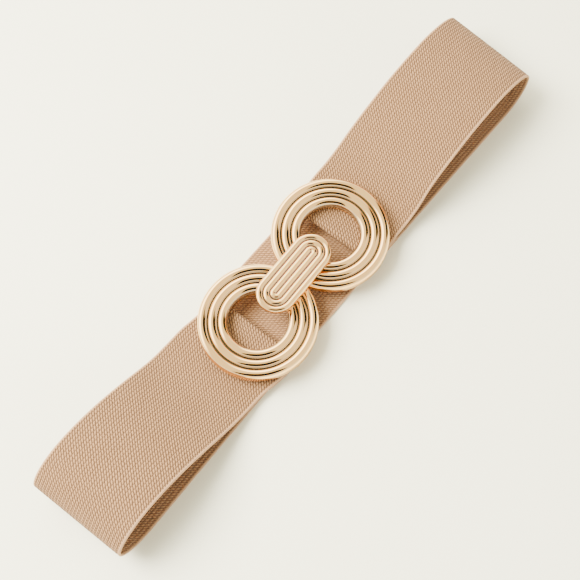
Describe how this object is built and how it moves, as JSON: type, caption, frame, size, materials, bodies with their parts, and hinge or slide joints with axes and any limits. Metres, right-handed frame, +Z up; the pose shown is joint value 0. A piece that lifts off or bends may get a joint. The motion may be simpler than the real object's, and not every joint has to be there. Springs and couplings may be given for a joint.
{
  "type": "elastic_stretch_belt",
  "caption": "Wide elastic stretch belt with a pale gold interlocking two-ring hook buckle, fastened and lying flattened so that both ends stand up as open loops.",
  "frame": {"origin": "on the table under the middle of the belt's footprint", "axes": "+X along the belt from the near end to the far end, +Y across the band, +Z up from the table"},
  "size_m": [0.3594, 0.0674, 0.0302],
  "materials": {
    "elastic": "twill-woven elastic webbing, matte, pale tan, with smooth lighter selvages",
    "pale_gold_metal": "cast ribs, polished and plated pale gold"
  },
  "bodies": {
    "root": {"elastic_band": "elastic", "hook_ring": "pale_gold_metal", "eye_ring": "pale_gold_metal"}
  },
  "joints": []
}
